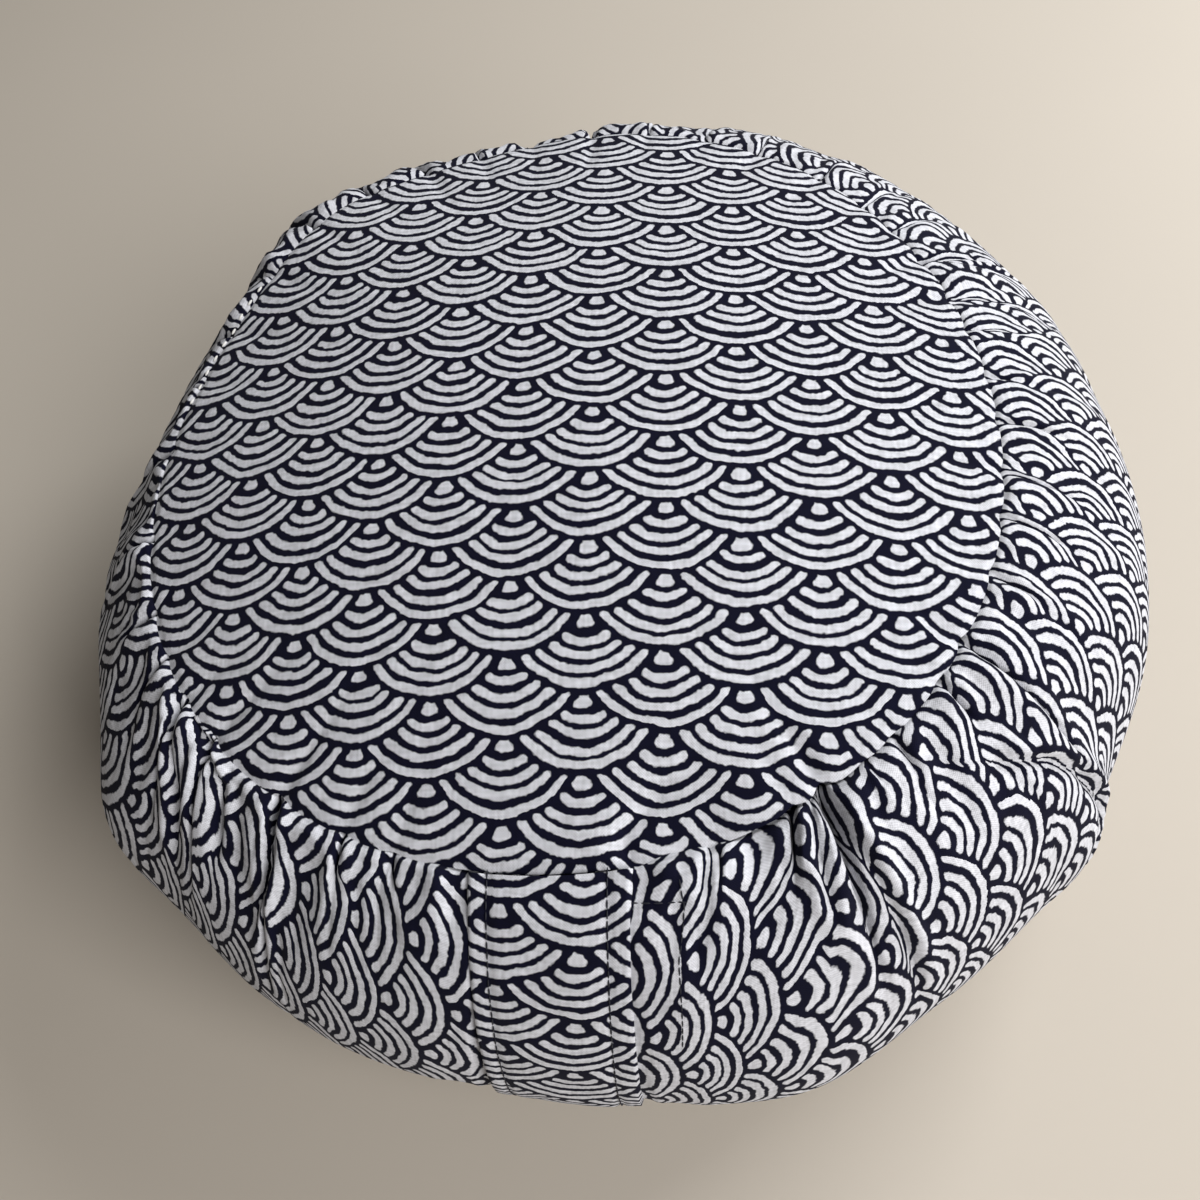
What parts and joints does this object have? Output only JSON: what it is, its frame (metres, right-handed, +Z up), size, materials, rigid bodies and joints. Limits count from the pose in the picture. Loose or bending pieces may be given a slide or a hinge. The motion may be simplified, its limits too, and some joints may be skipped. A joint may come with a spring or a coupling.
{
  "type": "zafu meditation cushion",
  "caption": "A round, firmly filled floor cushion in wave-printed cotton canvas, with a domed top panel, a tucked side band that bulges between its seams and a plain closure strip down the front.",
  "frame": {"origin": "the middle of the footprint, on the floor that the cushion rests on", "axes": "+Z up, through the thickness of the cushion; the closure strip faces -Y"},
  "size_m": [0.3547, 0.3525, 0.1571],
  "materials": {
    "band_canvas": "matt cotton canvas, navy ground with a printed light grey wave pattern",
    "top_canvas": "matt cotton canvas, navy ground with a printed light grey wave pattern",
    "closure_canvas": "matt cotton canvas, navy ground with a printed light grey wave pattern",
    "bottom_canvas": "matt cotton canvas, navy ground with a printed light grey wave pattern"
  },
  "bodies": {
    "root": {"side_band": "band_canvas", "top_panel": "top_canvas", "closure_panel": "closure_canvas", "bottom_panel": "bottom_canvas"}
  },
  "joints": []
}
